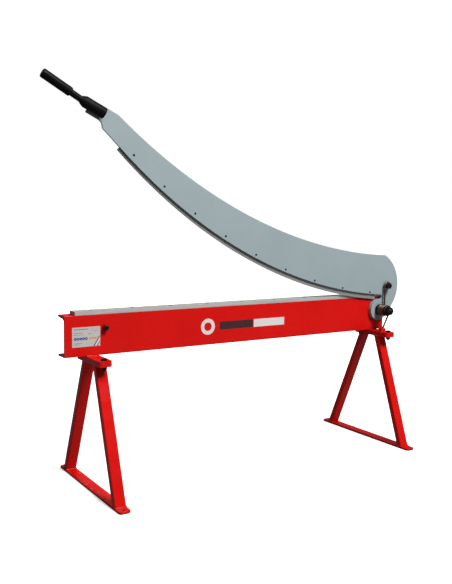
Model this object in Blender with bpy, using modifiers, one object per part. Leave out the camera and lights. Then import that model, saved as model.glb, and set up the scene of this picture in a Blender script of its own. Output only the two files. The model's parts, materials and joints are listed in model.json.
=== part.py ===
"""Hand lever shear for sheet metal, on two A-frame stands, with its arm raised.

Metres, +Z up. Shapes are placed in machine coordinates: X runs to the right from the
left end of the beam, Y runs back from the front face of the beam's web, and Z is the
height over the floor. The last step moves everything so that the origin is the middle
of the footprint on the floor.
"""

import math

import bmesh
import bpy
from mathutils import Matrix, Vector

GAP = 0.0003  # clearance between pieces that touch or slide
ORIGIN = Vector((0.71065, 0.0165, 0.0))  # middle of the footprint, machine coordinates

# Turns for shapes drawn about Z: their top then faces the front or the back, and X stays X
FACING_FRONT = Matrix.Rotation(math.pi / 2, 4, "X")
FACING_BACK = Matrix.Rotation(-math.pi / 2, 4, "X")

# Beam: a rolled steel channel with its web to the front
BEAM_LENGTH = 1.440
BEAM_BOTTOM = 0.4670
BEAM_HEIGHT = 0.140
FLANGE_WIDTH = 0.060
WEB = 0.007
FLANGE_MEAN = 0.010
FLANGE_SLOPE = 0.08
ROOT_RADIUS = 0.010
TOE_RADIUS = 0.005
HEEL_RADIUS = 0.0015
BEAM_TOP = BEAM_BOTTOM + BEAM_HEIGHT

# Lower blade: a flat bar screwed to the top flange, flush with the web's face
LOWER_BLADE_START = 0.037
LOWER_BLADE_END = 1.436
LOWER_BLADE_WIDTH = 0.050
LOWER_BLADE_THICK = 0.012
LOWER_SCREW_FIRST = 0.1018
LOWER_SCREW_STEP = 0.1538
LOWER_SCREW_Y = 0.025
SCREW_COUNT = 9

# M8 countersunk screws with a hexagon socket
SCREW_RADIUS = 0.004
SCREW_HEAD_RADIUS = 0.0078
SCREW_SOCKET = 0.0050
SCREW_RIM = 0.0006
LOWER_SCREW_LENGTH = 0.0250
ARM_SCREW_LENGTH = 0.0153

# Arm: a plate in front of the blade, turning on the pivot
PIVOT = Vector((1.400, 0.0, 0.553))
PLATE_THICK = 0.008
BLADE_THICK = 0.008
BLADE_BACK = -GAP
BLADE_FRONT = BLADE_BACK - BLADE_THICK
PLATE_BACK = BLADE_FRONT - GAP
PLATE_FRONT = PLATE_BACK - PLATE_THICK
LOBE_RADIUS = 0.045
TAIL_CENTRE = (1.362, 0.658)
TAIL_RADIUS = 0.1435
TOP_CENTRE = (1.520, 2.850)
TOP_RADIUS = 2.067
LOW_CENTRE = (1.5656, 2.5887)
LOW_RADIUS = 1.9777
TONGUE_TILT = math.radians(25.1)
TONGUE_CORNER = (0.0731, 1.2703)
TONGUE_WIDTH = 0.0476
SHOULDER = (0.1879, 1.2695)
TOP_FROM, TOP_TO = 0.1960, 1.4262
LOW_FROM, LOW_TO = 1.4030, 0.1930
NOTCH_CENTRE = (1.4055, 0.6078)
NOTCH_RADIUS = 0.0097
STEP_POINTS = ((0.1345, 1.2202), (0.1320, 1.2232), (0.1308, 1.2268), (0.1303, 1.2310),
               (0.1298, 1.2352), (0.1283, 1.2392), (0.1255, 1.2430), (0.1205, 1.2478))

# Upper blade: an arc-shaped bar behind the plate, with its screws on one arc
BLADE_CENTRE = (1.5764, 2.5655)
SCREW_ARC = 1.950
CUT_RADIUS = 1.977
BLADE_WIDTH = 0.052
BLADE_LEFT = math.radians(44.6)
BLADE_RIGHT = math.radians(5.7)
SCREW_LEFT = math.radians(43.10)
SCREW_RIGHT = math.radians(6.84)

# Handle: a socket welded to the tongue, a rod and a grip
SOCKET_RADIUS = 0.019
SOCKET_BORE = 0.0130
SOCKET_BORE_DEPTH = 0.030
SOCKET_LIP = 0.0135
SOCKET_MOUTH = (0.0503, 1.3046)
SOCKET_LENGTH = 0.0865
SOCKET_CHAMFER = 0.013
ROD_RADIUS = 0.011
ROD_SEAT = 0.024
ROD_TILT = math.radians(28.9)
GRIP_RADIUS = 0.01525
GRIP_START = 0.0407
GRIP_LENGTH = 0.1056
GRIP_END_WALL = 0.012
GRIP_EDGE = 0.002

# Pivot stack, from the arm plate to the front
BOLT_RADIUS = 0.010
BOLT_HOLE = 0.0103
BUSH_FLANGE = 0.023
BUSH_FLANGE_THICK = 0.007
BUSH_SLEEVE = 0.0155
COLLAR_RADIUS = 0.0225
COLLAR_THICK = 0.007
NUT_THICK = 0.016
NUT_FLATS = 0.030
PIVOT_HEAD = 0.0125
PIVOT_WASHER = (0.0185, 0.003)
BOLT_END = 0.008

# Return spring: a torsion spring round the bush
WIRE = 0.00375
COIL_RADIUS = 0.0205
COIL_PITCH = 0.0079
COIL_TURNS = 4
LEG_TILT = math.radians(28.0)
LEG_LOW = 0.0785
HOOK_RADIUS = 0.0145
HOOK_HEIGHT = 0.102
HOOK_BOLT_FLATS = 0.024
HOOK_BOLT_HEAD = 0.010
HOOK_BOLT_NECK = 0.0095
HOOK_BOLT_SHANK = 0.0070
WIRE_PLAY = 0.0005

# Stands
STAND_X = (0.1035, 1.379)
TOP_X = (0.0995, 1.383)  # the plates sit a little further apart than the legs
FOOT_WIDTH = 0.042
FOOT_FRONT = -0.2500
FOOT_BACK = 0.2830
FOOT_THICK = 0.008
FOOT_CORNER = 0.011
TOP_WIDTH = 0.048
TOP_FRONT = -0.109
TOP_BACK = 0.086
TOP_THICK = 0.010
TOP_CORNER = 0.009
TOP_BOLTS = (-0.094, 0.073)
TOP_BOLT_RADIUS = 0.005
TOP_BOLT_FLATS = 0.017
TOP_BOLT_HEAD = 0.0066
TOP_BOLT_TAIL = 0.0145
TOP_NUT_THICK = 0.0085
FOOT_HOLE_INSET = 0.016
FOOT_HOLE_RADIUS = 0.005
BOLT_CLEAR = 0.0053
LEG_WIDTH = 0.040
LEG_DEPTH = 0.0266
LEG_WALL = 0.0025
LEG_CORNER = 0.004
FRONT_LEG = (-0.2140, -0.0590)
BACK_LEG = (0.2450, 0.0585)

# Stop for the lowered arm, rating plate, spring anchor
STOP = (0.143, 0.561)
STOP_COLLAR = 0.0085
STOP_SHANK = 0.0060
STOP_HEAD = (0.0085, 0.0160)
STOP_FLATS = 0.0175
STOP_NUT_FLATS = 0.018
STOP_NUT_THICK = 0.010
LABEL_X = (0.026, 0.126)
LABEL_Z = (0.500, 0.567)
LABEL_THICK = 0.0008
ANCHOR = (1.3790, -0.0602)
ANCHOR_SIZE = (0.024, 0.019, 0.013)


def clear_scene():
    for obj in list(bpy.data.objects):
        bpy.data.objects.remove(obj, do_unlink=True)


def collection(name):
    made = bpy.data.collections.new(name)
    bpy.context.scene.collection.children.link(made)
    return made


def material(name, colour, roughness, metallic):
    made = bpy.data.materials.new(name)
    made.use_nodes = True
    shader = made.node_tree.nodes["Principled BSDF"]
    shader.inputs["Base Color"].default_value = (*colour, 1.0)
    shader.inputs["Roughness"].default_value = roughness
    shader.inputs["Metallic"].default_value = metallic
    made.diffuse_color = (*colour, 1.0)
    return made


clear_scene()
PARTS = collection("hand_lever_shear")
CUTTERS = collection("cutters")
RED = material("red_paint", (0.60, 0.012, 0.010), 0.35, 0.0)
GREY = material("grey_paint", (0.33, 0.40, 0.42), 0.40, 0.0)
BLADE_STEEL = material("blade_steel", (0.36, 0.36, 0.35), 0.35, 1.0)
BLACK_STEEL = material("black_steel", (0.02, 0.02, 0.02), 0.45, 1.0)
SPRING_STEEL = material("spring_steel", (0.06, 0.04, 0.035), 0.45, 1.0)
BLACK_PAINT = material("black_paint", (0.012, 0.012, 0.012), 0.30, 0.0)
GRIP_PLASTIC = material("grip_plastic", (0.012, 0.012, 0.012), 0.40, 0.0)
LABEL_FILM = material("label_film", (0.60, 0.62, 0.63), 0.40, 0.0)


def add(name, data, paint=None, where=None):
    obj = bpy.data.objects.new(name, data)
    (where or PARTS).objects.link(obj)
    if paint:
        data.materials.clear()
        data.materials.append(paint)
    return obj


def helper(name, data):
    obj = add(name, data, where=CUTTERS)
    obj.hide_render = True
    obj.display_type = "WIRE"
    return obj


def applied(obj, paint=None, where=None):
    """The object again as a plain mesh, with its modifiers applied and its seams welded."""
    bpy.context.view_layer.update()
    graph = bpy.context.evaluated_depsgraph_get()
    mesh = bpy.data.meshes.new_from_object(obj.evaluated_get(graph))
    work = bmesh.new()
    work.from_mesh(mesh)
    bmesh.ops.remove_doubles(work, verts=work.verts, dist=0.000002)
    bmesh.ops.recalc_face_normals(work, faces=work.faces)
    work.to_mesh(mesh)
    work.free()
    name, place = obj.name, obj.matrix_world.copy()
    bpy.data.objects.remove(obj, do_unlink=True)
    made = helper(name, mesh) if where is CUTTERS else add(name, mesh, paint)
    made.matrix_world = place
    return made


def boolean(obj, other, operation):
    step = obj.modifiers.new(operation.lower(), "BOOLEAN")
    step.operation = operation
    step.solver = "EXACT"
    step.object = other


def smooth(obj):
    obj.data.shade_smooth()
    obj.data.set_sharp_from_angle(angle=math.radians(35))


def arc(centre, radius, start, end, steps):
    """Points of a circle's arc, with angles counted from +X towards +Z."""
    angles = [start + (end - start) * i / steps for i in range(steps + 1)]
    return [(centre[0] + radius * math.cos(a), centre[1] + radius * math.sin(a)) for a in angles]


def angle_at(centre, radius, x):
    """The angle of the lower crossing of a circle with the vertical line at x."""
    return -math.acos((x - centre[0]) / radius)


def circle(x, z, radius, steps=24):
    return arc((x, z), radius, 0.0, 2 * math.pi, steps)[:-1]


def flat(name, loops, thick, paint=None):
    """A flat outline with its holes, spread half its thickness to each side of its plane."""
    data = bpy.data.curves.new(name, "CURVE")
    data.dimensions = "2D"
    data.fill_mode = "BOTH"
    data.extrude = thick / 2
    for loop in loops:
        spline = data.splines.new("POLY")
        spline.points.add(len(loop) - 1)
        spline.use_cyclic_u = True
        for point, (x, y) in zip(spline.points, loop):
            point.co = (x, y, 0.0, 1.0)
    return applied(add(name, data), paint, CUTTERS if paint is None else None)


def upright(name, loops, back, front, paint, base=(0.0, 0.0)):
    """A plate whose outline is drawn in X and Z, between two planes of constant Y."""
    moved = [[(x - base[0], z - base[1]) for x, z in loop] for loop in loops]
    obj = flat(name, moved, back - front, paint)
    obj.matrix_world = Matrix.Translation((base[0], (back + front) / 2, base[1])) @ FACING_FRONT
    return obj


def level(name, loops, bottom, thick, paint):
    """A plate whose outline is drawn in X and Y, lying from a height up."""
    obj = flat(name, loops, thick, paint)
    obj.matrix_world = Matrix.Translation((0.0, 0.0, bottom + thick / 2))
    return obj


def turned(name, profile, paint=None, closed=False, steps=24):
    """A solid of revolution about Z. The profile runs down its outer side, top to bottom."""
    data = bpy.data.meshes.new(name)
    ends = [(i, i + 1) for i in range(len(profile) - 1)]
    if closed:
        ends.append((len(profile) - 1, 0))
    data.from_pydata([(r, 0.0, z) for r, z in profile], ends, [])
    obj = helper(name, data) if paint is None else add(name, data)
    spin = obj.modifiers.new("turn", "SCREW")
    spin.axis = "Z"
    spin.angle = 2 * math.pi
    spin.steps = steps
    spin.render_steps = steps
    spin.use_merge_vertices = True
    spin.merge_threshold = 0.00001
    return applied(obj, paint, CUTTERS if paint is None else None)


def hex_prism(name, flats, bottom, top, paint=None):
    """A hexagonal prism about Z, with its size given across the flats."""
    work = bmesh.new()
    radius = flats / math.sqrt(3)
    middle = Matrix.Translation((0.0, 0.0, (bottom + top) / 2))
    bmesh.ops.create_cone(
        work, cap_ends=True, segments=6, radius1=radius, radius2=radius, depth=top - bottom, matrix=middle
    )
    data = bpy.data.meshes.new(name)
    work.to_mesh(data)
    work.free()
    return helper(name, data) if paint is None else add(name, data, paint)


def box(name, low, high, paint):
    work = bmesh.new()
    bmesh.ops.create_cube(work, size=1.0)
    size = [b - a for a, b in zip(low, high)]
    bmesh.ops.scale(work, vec=size, verts=work.verts)
    data = bpy.data.meshes.new(name)
    work.to_mesh(data)
    work.free()
    obj = add(name, data, paint)
    obj.location = [(a + b) / 2 for a, b in zip(low, high)]
    return obj


def repeated(name, mesh, places):
    """One cutter mesh that holds a copy of a mesh at each place."""
    work = bmesh.new()
    for place in places:
        start = len(work.verts)
        work.from_mesh(mesh)
        work.verts.ensure_lookup_table()
        bmesh.ops.transform(work, matrix=place, verts=work.verts[start:])
    data = bpy.data.meshes.new(name)
    work.to_mesh(data)
    work.free()
    return helper(name, data)


def bolt(name, flats, head, radius, length, paint=BLACK_STEEL):
    """A hexagon bolt about Z: its head stands on the plane z = 0 and its shank hangs below."""
    obj = hex_prism(name, flats, 0.0, head, paint)
    chamfer = radius * 0.15
    profile = [(0.0, head / 2), (radius, head / 2), (radius, chamfer - length), (radius - chamfer, -length)]
    shank = turned(name + "_shank", profile + [(0.0, -length)])
    boolean(obj, shank, "UNION")
    return applied(obj, paint)


def nut(name, flats, thick, radius, paint=BLACK_STEEL):
    """A hexagon nut about Z, lying under the plane z = 0, with a clear bore."""
    obj = hex_prism(name, flats, -thick, 0.0, paint)
    bore = turned(name + "_bore", [(0.0, 0.01), (radius, 0.01), (radius, -thick - 0.01), (0.0, -thick - 0.01)])
    boolean(obj, bore, "DIFFERENCE")
    return applied(obj, paint)


def copies(source, places):
    """Puts the object at the first place and a copy that shares its mesh at each other one."""
    base = source.name
    made = []
    for i, place in enumerate(places):
        obj = source if i == 0 else add(base, source.data)
        obj.name = f"{base}_{i + 1}"
        obj.matrix_world = place
        made.append(obj)
    return made


def fillet(corner, before, after, radius, steps=4):
    """Points that round the corner between the directions to its two neighbours."""
    c, a, b = Vector(corner), Vector(before), Vector(after)
    to_a, to_b = (a - c).normalized(), (b - c).normalized()
    half = to_a.angle(to_b) / 2
    start = c + to_a * radius / math.tan(half)
    end = c + to_b * radius / math.tan(half)
    centre = c + (to_a + to_b).normalized() * radius / math.sin(half)
    points = []
    for i in range(steps + 1):
        blend = start.lerp(end, i / steps) - centre
        points.append(tuple(centre + blend.normalized() * radius))
    return points


def rounded(corners):
    """An outline whose corners are rounded: each corner is (x, y, radius)."""
    points = []
    for i, (x, y, radius) in enumerate(corners):
        before = corners[i - 1][:2]
        after = corners[(i + 1) % len(corners)][:2]
        points += fillet((x, y), before, after, radius) if radius else [(x, y)]
    return points


def channel_outline():
    """The channel's section in Y and Z, with sloped inner flanges, round roots and toes."""
    middle = FLANGE_WIDTH / 2
    tip = FLANGE_MEAN - FLANGE_SLOPE * (FLANGE_WIDTH - middle)
    root = FLANGE_MEAN + FLANGE_SLOPE * (middle - WEB)
    return rounded([
        (0.0, 0.0, HEEL_RADIUS),
        (FLANGE_WIDTH, 0.0, 0.0),
        (FLANGE_WIDTH, tip, TOE_RADIUS),
        (WEB, root, ROOT_RADIUS),
        (WEB, BEAM_HEIGHT - root, ROOT_RADIUS),
        (FLANGE_WIDTH, BEAM_HEIGHT - tip, TOE_RADIUS),
        (FLANGE_WIDTH, BEAM_HEIGHT, 0.0),
        (0.0, BEAM_HEIGHT, HEEL_RADIUS),
    ])


def lower_screw_places():
    xs = [LOWER_SCREW_FIRST + LOWER_SCREW_STEP * i for i in range(SCREW_COUNT)]
    top = BEAM_TOP + GAP + LOWER_BLADE_THICK
    return [Matrix.Translation((x, LOWER_SCREW_Y, top)) for x in xs]


def countersunk_profile(spare, length):
    """Half section of a countersunk screw, or of its hole when spare is above zero."""
    head, shank = SCREW_HEAD_RADIUS + spare, SCREW_RADIUS + spare
    above = 0.002 if spare else -0.0002
    return [(0.0, above), (head, above), (head, -SCREW_RIM), (shank, -SCREW_RIM - (head - shank)),
            (shank, -length), (0.0, -length)]


def countersunk_screw(name, length):
    obj = turned(name, countersunk_profile(0.0, length), BLACK_STEEL, steps=16)
    socket = hex_prism(name + "_socket", SCREW_SOCKET, -0.0035, 0.002)
    boolean(obj, socket, "DIFFERENCE")
    return applied(obj, BLACK_STEEL)


def hole(name, radius, start, end, steps=16):
    """A round cutter along Z between two heights."""
    return turned(name, [(0.0, end), (radius, end), (radius, start), (0.0, start)], steps=steps)


def beam():
    obj = flat("beam_channel", [channel_outline()], BEAM_LENGTH, RED)
    along = Matrix(((0, 0, 1, BEAM_LENGTH / 2), (1, 0, 0, 0), (0, 1, 0, BEAM_BOTTOM), (0, 0, 0, 1)))
    obj.matrix_world = along
    tapped = hole("flange_hole", SCREW_RADIUS + GAP, -0.040, 0.002)
    places = lower_screw_places()
    boolean(obj, repeated("flange_holes", tapped.data, places), "DIFFERENCE")
    through = hole("web_hole", BOLT_HOLE, -0.020, 0.020, 32)
    through.matrix_world = Matrix.Translation(PIVOT) @ FACING_FRONT
    boolean(obj, through, "DIFFERENCE")
    small = hole("stop_hole", STOP_SHANK + GAP, -0.020, 0.020)
    small.matrix_world = Matrix.Translation((STOP[0], 0.0, STOP[1])) @ FACING_FRONT
    boolean(obj, small, "DIFFERENCE")
    return applied(obj, RED)


def lower_blade():
    low = (LOWER_BLADE_START, 0.0, BEAM_TOP + GAP)
    high = (LOWER_BLADE_END, LOWER_BLADE_WIDTH, BEAM_TOP + GAP + LOWER_BLADE_THICK)
    obj = box("lower_blade", low, high, BLADE_STEEL)
    sunk = turned("sunk_hole", countersunk_profile(GAP, 0.040), steps=16)
    boolean(obj, repeated("sunk_holes", sunk.data, lower_screw_places()), "DIFFERENCE")
    applied(obj, BLADE_STEEL)
    copies(countersunk_screw("lower_blade_screw", LOWER_SCREW_LENGTH), lower_screw_places())


def arm_outline():
    """The arm plate's outline in X and Z, from the tongue over the top and round the lobe."""
    across = Vector((math.sin(TONGUE_TILT), math.cos(TONGUE_TILT)))
    corner = Vector(TONGUE_CORNER)
    top_left = corner + across * TONGUE_WIDTH
    top_start = angle_at(TOP_CENTRE, TOP_RADIUS, TOP_FROM)
    top_end = angle_at(TOP_CENTRE, TOP_RADIUS, TOP_TO)
    low_start = angle_at(LOW_CENTRE, LOW_RADIUS, LOW_FROM)
    low_end = angle_at(LOW_CENTRE, LOW_RADIUS, LOW_TO)
    lobe = (PIVOT.x, PIVOT.z)
    points = [tuple(corner), tuple(top_left), SHOULDER]
    points += arc(TOP_CENTRE, TOP_RADIUS, top_start, top_end, 40)
    points += arc(TAIL_CENTRE, TAIL_RADIUS, math.radians(61), math.radians(-48), 20)
    points += arc(lobe, LOBE_RADIUS, math.radians(-42), math.radians(-276), 28)
    points += arc(NOTCH_CENTRE, NOTCH_RADIUS, math.radians(-72), math.radians(78), 6)
    points += arc(LOW_CENTRE, LOW_RADIUS, low_start, low_end, 40)
    return points + list(STEP_POINTS)


def blade_point(radius, angle):
    """A point at an angle to the left of straight down from the blade's centre."""
    return (BLADE_CENTRE[0] - radius * math.sin(angle), BLADE_CENTRE[1] - radius * math.cos(angle))


def arm_screw_points():
    step = (SCREW_LEFT - SCREW_RIGHT) / (SCREW_COUNT - 1)
    return [blade_point(SCREW_ARC, SCREW_LEFT - step * i) for i in range(SCREW_COUNT)]


def hook_point():
    return (PIVOT.x + COIL_RADIUS + HOOK_RADIUS, PIVOT.z + HOOK_HEIGHT)


def arm_plate():
    holes = [circle(x, z, SCREW_RADIUS + GAP, 16) for x, z in arm_screw_points()]
    holes.append(circle(*hook_point(), HOOK_BOLT_SHANK + GAP))
    holes.append(circle(PIVOT.x, PIVOT.z, BOLT_HOLE, 48))
    base = (PIVOT.x, PIVOT.z)
    upright("arm_plate", [arm_outline()] + holes, PLATE_BACK, PLATE_FRONT, GREY, base)
    ring = [circle(*base, LOBE_RADIUS, 48), circle(*base, BOLT_HOLE, 48)]
    upright("pivot_spacer", ring, BLADE_BACK, BLADE_FRONT, GREY, base)


def upper_blade():
    steps = 48
    angles = [BLADE_LEFT + (BLADE_RIGHT - BLADE_LEFT) * i / steps for i in range(steps + 1)]
    cutting = [blade_point(CUT_RADIUS, a) for a in angles]
    inner = [blade_point(CUT_RADIUS - BLADE_WIDTH, a) for a in reversed(angles)]
    base = (PIVOT.x, PIVOT.z)
    obj = upright("upper_blade", [cutting + inner], BLADE_BACK, BLADE_FRONT, BLADE_STEEL, base)
    back = [Matrix.Translation((x, BLADE_BACK, z)) @ FACING_BACK for x, z in arm_screw_points()]
    sunk = turned("blade_hole", countersunk_profile(GAP, 0.020), steps=16)
    boolean(obj, repeated("blade_holes", sunk.data, back), "DIFFERENCE")
    applied(obj, BLADE_STEEL)
    copies(countersunk_screw("arm_screw", ARM_SCREW_LENGTH), back)


def along_tilt(x, z, y, tilt):
    """Places a shape drawn about Z so that its top points up and to the left, leaning by tilt."""
    lean = Matrix.Rotation(tilt - math.pi / 2, 4, "Y")
    return Matrix.Translation((x, y, z)) @ lean


def handle():
    """The socket, the rod seated in its mouth and the grip pushed over the rod."""
    y = PLATE_FRONT - GAP - SOCKET_RADIUS
    place = along_tilt(*SOCKET_MOUTH, y, TONGUE_TILT)
    mouth = [(SOCKET_LIP, 0.0), (SOCKET_RADIUS, -SOCKET_CHAMFER), (SOCKET_RADIUS, -SOCKET_LENGTH)]
    profile = [(0.0, -SOCKET_BORE_DEPTH), (SOCKET_BORE, -SOCKET_BORE_DEPTH), (SOCKET_BORE, 0.0)] + mouth
    turned("handle_socket", profile + [(0.0, -SOCKET_LENGTH)], BLACK_PAINT).matrix_world = place
    place = along_tilt(*SOCKET_MOUTH, y, ROD_TILT)
    rod_end = GRIP_START + GRIP_LENGTH - GRIP_END_WALL
    profile = [(0.0, rod_end), (ROD_RADIUS, rod_end), (ROD_RADIUS, -ROD_SEAT), (0.0, -ROD_SEAT)]
    turned("handle_rod", profile, BLACK_PAINT).matrix_world = place
    far, near = GRIP_START + GRIP_LENGTH, GRIP_START
    edge = GRIP_RADIUS - GRIP_EDGE
    outer = [(0.0, far), (edge, far), (GRIP_RADIUS, far - GRIP_EDGE), (GRIP_RADIUS, near + GRIP_EDGE)]
    inner = [(edge, near), (ROD_RADIUS + GAP, near), (ROD_RADIUS + GAP, rod_end + GAP)]
    grip = turned("handle_grip", outer + inner + [(0.0, rod_end + GAP)], GRIP_PLASTIC)
    grip.matrix_world = place


def pivot_stack():
    """The bolt through the web and the arm, with its bush, collar and nut."""
    at_pivot = Matrix.Translation(PIVOT) @ FACING_FRONT
    face = -PLATE_FRONT + GAP
    flange = face + BUSH_FLANGE_THICK
    sleeve = flange + 2 * GAP + COIL_PITCH * COIL_TURNS + 2 * WIRE + 0.0011
    bush = [(BUSH_SLEEVE, sleeve), (BUSH_SLEEVE, flange), (BUSH_FLANGE, flange), (BUSH_FLANGE, face),
            (BOLT_HOLE, face), (BOLT_HOLE, sleeve)]
    turned("pivot_bush", bush, BLACK_STEEL, closed=True).matrix_world = at_pivot
    low, high = sleeve + GAP, sleeve + GAP + COLLAR_THICK
    edge = COLLAR_RADIUS - 0.001
    collar = [(edge, high), (COLLAR_RADIUS, high - 0.001), (COLLAR_RADIUS, low),
              (BOLT_HOLE, low), (BOLT_HOLE, high)]
    turned("pivot_collar", collar, BLACK_STEEL, closed=True).matrix_world = at_pivot
    top = high + GAP + NUT_THICK
    locked = nut("pivot_nut", NUT_FLATS, NUT_THICK, BOLT_HOLE)
    locked.matrix_world = Matrix.Translation(PIVOT + Vector((0.0, -top, 0.0))) @ FACING_FRONT
    back = WEB + GAP
    wide, thick = PIVOT_WASHER
    washer = [(wide, -back), (wide, -back - thick), (BOLT_HOLE, -back - thick), (BOLT_HOLE, -back)]
    turned("pivot_washer", washer, BLACK_STEEL, closed=True).matrix_world = at_pivot
    under = back + thick + GAP
    pin = bolt("pivot_bolt", NUT_FLATS, PIVOT_HEAD, BOLT_RADIUS, under + top + BOLT_END)
    pin.matrix_world = Matrix.Translation(PIVOT + Vector((0.0, under, 0.0))) @ FACING_BACK


def coil_start():
    """Distance in front of the web of the wire's centre in the turn next to the arm."""
    return -PLATE_FRONT + GAP + BUSH_FLANGE_THICK + GAP + WIRE


def spring_points():
    """The wire's centreline: hook, upper leg, coil and lower leg, about the pivot."""
    near = coil_start()
    centre = Vector((COIL_RADIUS + HOOK_RADIUS, HOOK_HEIGHT))
    points = []
    for i in range(15):
        a = math.radians(-25 + 205 * i / 14)
        points.append((centre.x + HOOK_RADIUS * math.cos(a), -near, centre.y + HOOK_RADIUS * math.sin(a)))
    points += [(COIL_RADIUS, -near, HOOK_HEIGHT * k) for k in (0.75, 0.5, 0.25)]
    turn = 2 * math.pi * COIL_TURNS + LEG_TILT
    steps = 24 * COIL_TURNS + 2
    for i in range(steps + 1):
        a = -turn * i / steps
        y = near + COIL_PITCH * (turn * i / steps) / (2 * math.pi)
        points.append((COIL_RADIUS * math.cos(a), -y, COIL_RADIUS * math.sin(a)))
    down = Vector((-math.sin(LEG_TILT), 0.0, -math.cos(LEG_TILT)))
    last = Vector(points[-1])
    points += [tuple(last + down * LEG_LOW * k) for k in (0.33, 0.66, 1.0)]
    return points


def spring():
    data = bpy.data.curves.new("return_spring", "CURVE")
    data.dimensions = "3D"
    data.bevel_depth = WIRE
    data.bevel_resolution = 2
    data.use_fill_caps = True
    points = spring_points()
    spline = data.splines.new("POLY")
    spline.points.add(len(points) - 1)
    for point, place in zip(spline.points, points):
        point.co = (*place, 1.0)
    obj = add("return_spring", data)
    obj.location = PIVOT
    applied(obj, SPRING_STEEL)


def spring_hook_bolt():
    """A shoulder bolt screwed into the arm plate, which the spring's hook hangs on."""
    x, z = hook_point()
    face = -PLATE_FRONT
    head = coil_start() + WIRE + WIRE_PLAY
    obj = hex_prism("spring_hook_bolt", HOOK_BOLT_FLATS, head, head + HOOK_BOLT_HEAD, BLACK_STEEL)
    inside = head + HOOK_BOLT_HEAD / 2
    profile = [(0.0, inside), (HOOK_BOLT_NECK, inside), (HOOK_BOLT_NECK, face + GAP),
               (HOOK_BOLT_SHANK, face + GAP), (HOOK_BOLT_SHANK, -PLATE_BACK), (0.0, -PLATE_BACK)]
    shank = turned("hook_shank", profile)
    boolean(obj, shank, "UNION")
    obj = applied(obj, BLACK_STEEL)
    obj.matrix_world = Matrix.Translation((x, 0.0, z)) @ FACING_FRONT


def spring_anchor():
    """The block on the right cross plate that holds the end of the spring's lower leg."""
    bottom = BEAM_BOTTOM
    x, y = ANCHOR
    wide, deep, high = ANCHOR_SIZE
    low = (x - wide / 2, y - deep / 2, bottom)
    obj = box("spring_anchor", low, (x + wide / 2, y + deep / 2, bottom + high), RED)
    last = PIVOT + Vector(spring_points()[-1])
    drill = hole("anchor_hole", WIRE + 0.0004, -0.001, 0.060)
    lean = Matrix.Rotation(LEG_TILT, 4, "Y")
    drill.matrix_world = Matrix.Translation(last) @ lean
    boolean(obj, drill, "DIFFERENCE")
    applied(obj, RED)


def stop_bolt():
    """The stop in the arm's plane: a bolt through the web with a collar behind its head."""
    place = Matrix.Translation((STOP[0], 0.0, STOP[1])) @ FACING_FRONT
    obj = hex_prism("stop_bolt", STOP_FLATS, *STOP_HEAD, BLACK_STEEL)
    inside = sum(STOP_HEAD) / 2
    back = -WEB - GAP - STOP_NUT_THICK - 0.0022
    profile = [(0.0, inside), (STOP_COLLAR, inside), (STOP_COLLAR, GAP), (STOP_SHANK, GAP), (STOP_SHANK, back),
               (0.0, back)]
    boolean(obj, turned("stop_shank", profile), "UNION")
    applied(obj, BLACK_STEEL).matrix_world = place
    locked = nut("stop_nut", STOP_NUT_FLATS, STOP_NUT_THICK, STOP_SHANK + GAP)
    locked.matrix_world = place @ Matrix.Translation((0.0, 0.0, -WEB - GAP))


def rating_plate():
    low = (LABEL_X[0], -GAP - LABEL_THICK, LABEL_Z[0])
    box("rating_plate", low, (LABEL_X[1], -GAP, LABEL_Z[1]), LABEL_FILM)


def bar_outline(x, width, front, back, radius):
    """A flat bar seen from above, with its four corners rounded."""
    low, high = x - width / 2, x + width / 2
    return rounded([(low, front, radius), (high, front, radius), (high, back, radius), (low, back, radius)])


def leg(name, x, foot, top, side):
    """A rectangular tube leaning in Y, cut level at both ends. foot and top place its outer face."""
    low, high = FOOT_THICK + GAP, BEAM_BOTTOM - 2 * TOP_THICK - 2 * GAP
    lean = Matrix.Identity(4)
    lean[1][2] = (top - foot) / (high - low)
    centre = (foot + top + side * LEG_DEPTH) / 2
    place = Matrix.Translation((x, centre, (low + high) / 2)) @ lean

    def section(shrink, radius):
        half_x, half_y = LEG_WIDTH / 2 - shrink, LEG_DEPTH / 2 - shrink
        return [rounded([(-half_x, -half_y, radius), (half_x, -half_y, radius),
                         (half_x, half_y, radius), (-half_x, half_y, radius)])]

    outer = flat(name, section(0.0, LEG_CORNER), high - low, RED)
    inner = flat(name + "_bore", section(LEG_WALL, LEG_CORNER - LEG_WALL + 0.0005), high - low + 0.020)
    for obj in (outer, inner):
        obj.data.transform(place)
    boolean(outer, inner, "DIFFERENCE")
    applied(outer, RED)


def stand(side, x, top_x):
    """A cross plate under the beam, and below it a frame of foot bar, two legs and top plate."""
    drilled = [circle(top_x, y, BOLT_CLEAR, 16) for y in TOP_BOLTS]
    outline = bar_outline(top_x, TOP_WIDTH, TOP_FRONT, TOP_BACK, TOP_CORNER)
    upper = BEAM_BOTTOM - GAP - TOP_THICK
    level(f"cross_plate_{side}", [outline] + drilled, upper, TOP_THICK, RED)
    lower = upper - GAP - TOP_THICK
    level(f"stand_top_plate_{side}", [outline] + drilled, lower, TOP_THICK, RED)
    ends = (FOOT_FRONT + FOOT_HOLE_INSET, FOOT_BACK - FOOT_HOLE_INSET)
    anchors = [circle(x, y, FOOT_HOLE_RADIUS, 16) for y in ends]
    foot = bar_outline(x, FOOT_WIDTH, FOOT_FRONT, FOOT_BACK, FOOT_CORNER)
    level(f"foot_bar_{side}", [foot] + anchors, 0.0, FOOT_THICK, RED)
    leg(f"front_leg_{side}", x, *FRONT_LEG, 1)
    leg(f"back_leg_{side}", x, *BACK_LEG, -1)


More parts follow.
